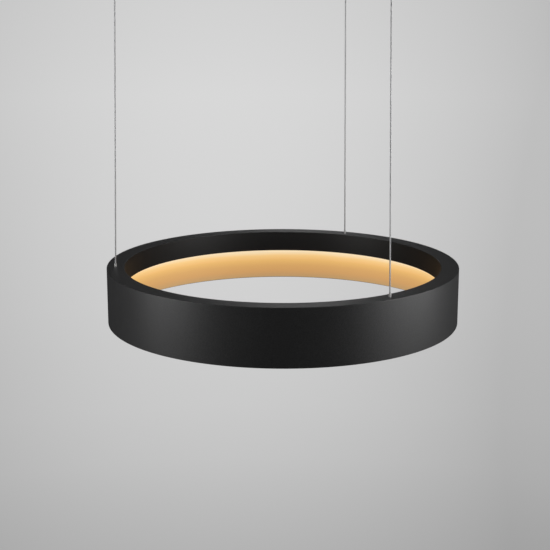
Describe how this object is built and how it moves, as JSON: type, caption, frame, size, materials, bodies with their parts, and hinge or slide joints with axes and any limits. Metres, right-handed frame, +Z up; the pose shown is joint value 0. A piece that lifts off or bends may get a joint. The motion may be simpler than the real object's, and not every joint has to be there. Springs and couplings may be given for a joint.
{
  "type": "ring pendant light",
  "caption": "Black ring light with a gold lining lit from under an inner lip, hung level on thin wires from small ceiling fittings whose covers slide down.",
  "frame": {"origin": "on the ring's axis, in the ceiling plane, at the centre of the circle of ceiling screw holes", "axes": "+Z up, along the ring's axis; +X to the right and +Y away from the viewer of the picture"},
  "size_m": [0.602, 0.6, 0.595],
  "materials": {
    "black_satin": "satin black powder coat on aluminium",
    "gold": "matte gold anodised aluminium strip",
    "opal": "opal diffuser, lit",
    "black_plastic": "moulded black plastic",
    "white_plastic": "moulded white plastic",
    "red_plastic": "lead insulation",
    "green_board": "circuit board with its parts",
    "white_board": "white coated light board",
    "lamp": "lamp package, lit",
    "raw_aluminium": "mill finish",
    "steel": "plain steel",
    "nickel": "nickel-plated brass",
    "copper": "tinned copper",
    "wire": "steel rope in a clear sheath"
  },
  "bodies": {
    "ceiling_fittings": {"ceiling_base_1": "white_plastic", "ceiling_base_2": "white_plastic", "ceiling_base_3": "white_plastic", "contact_lug_1": "copper", "contact_lug_2": "copper", "plain_washer": "steel", "gripper_body_1": "nickel", "gripper_body_2": "nickel", "gripper_body_3": "nickel", "gripper_plugs": "nickel", "gripper_spring_1": "steel", "gripper_spring_2": "steel", "gripper_spring_3": "steel"},
    "ring": {"wire_guide_1": "nickel", "wire_guide_2": "nickel", "wire_guide_3": "nickel", "insulating_bushes": "black_plastic", "feed_lug_1": "copper", "feed_lug_2": "copper", "feed_washer": "steel", "outer_band": "black_satin", "top_channel": "black_satin", "gold_liner": "gold", "diffuser_ring": "opal", "carrier_studs": "raw_aluminium", "carrier_ring": "raw_aluminium", "carrier_screws": "steel", "light_boards": "white_board", "light_chips": "lamp", "board_links": "white_plastic", "driver_case_1": "white_plastic", "driver_case_2": "white_plastic", "driver_case_3": "white_plastic", "driver_boards": "green_board", "driver_lids": "white_plastic", "driver_screws": "steel", "feed_lead_plus": "red_plastic", "feed_lead_minus": "black_plastic", "branch_leads": "white_plastic"},
    "wire_1": {"suspension_wire_1": "wire", "wire_stop_1": "steel"},
    "plunger_1": {"release_plunger_1": "nickel", "jaw_balls_1": "steel"},
    "cover_1": {"cover_cup_1": "black_satin", "grub_screw_1": "steel"},
    "wire_2": {"suspension_wire_2": "wire", "wire_stop_2": "steel"},
    "plunger_2": {"release_plunger_2": "nickel", "jaw_balls_2": "steel"},
    "cover_2": {"cover_cup_2": "black_satin", "grub_screw_2": "steel"},
    "wire_3": {"suspension_wire_3": "wire", "wire_stop_3": "steel"},
    "plunger_3": {"release_plunger_3": "nickel", "jaw_balls_3": "steel"},
    "cover_3": {"cover_cup_3": "black_satin", "grub_screw_3": "steel"}
  },
  "joints": [
    {"name": "swing", "type": "hinge", "parent": "ceiling_fittings", "child": "wire_1", "pos_m": [0.11538, 0.24742, -0.027], "axis": [0.4226, 0.9063, 0], "range_deg": [-2, 2]},
    {"name": "ring_stays_level", "type": "hinge", "parent": "wire_1", "child": "ring", "pos_m": [0.12045, 0.2583, -0.5], "axis": [0.4226, 0.9063, 0], "range_deg": [-2, 2]},
    {"name": "swing_of_wire_2", "type": "hinge", "parent": "ceiling_fittings", "child": "wire_2", "pos_m": [-0.27196, -0.02379, -0.027], "axis": [0.4226, 0.9063, 0], "range_deg": [-2, 2]},
    {"name": "swing_of_wire_3", "type": "hinge", "parent": "ceiling_fittings", "child": "wire_3", "pos_m": [0.15659, -0.22363, -0.027], "axis": [0.4226, 0.9063, 0], "range_deg": [-2, 2]},
    {"name": "release_1", "type": "slide", "parent": "ceiling_fittings", "child": "plunger_1", "axis": [0, 0, 1], "range_m": [0, 0.0025], "stiffness_N_per_m": 800, "springref_m": -0.002, "deforming": ["gripper_spring_1"]},
    {"name": "cover_1_slide", "type": "slide", "parent": "ceiling_fittings", "child": "cover_1", "axis": [0, 0, -1], "range_m": [0, 0.06]},
    {"name": "release_2", "type": "slide", "parent": "ceiling_fittings", "child": "plunger_2", "axis": [0, 0, 1], "range_m": [0, 0.0025], "stiffness_N_per_m": 800, "springref_m": -0.002, "deforming": ["gripper_spring_2"]},
    {"name": "cover_2_slide", "type": "slide", "parent": "ceiling_fittings", "child": "cover_2", "axis": [0, 0, -1], "range_m": [0, 0.06]},
    {"name": "release_3", "type": "slide", "parent": "ceiling_fittings", "child": "plunger_3", "axis": [0, 0, 1], "range_m": [0, 0.0025], "stiffness_N_per_m": 800, "springref_m": -0.002, "deforming": ["gripper_spring_3"]},
    {"name": "cover_3_slide", "type": "slide", "parent": "ceiling_fittings", "child": "cover_3", "axis": [0, 0, -1], "range_m": [0, 0.06]}
  ],
  "couplings": [
    {"joint": "ring_stays_level", "follows": "swing", "ratio": -1},
    {"joint": "swing_of_wire_2", "follows": "swing", "ratio": 1},
    {"joint": "swing_of_wire_3", "follows": "swing", "ratio": 1}
  ]
}
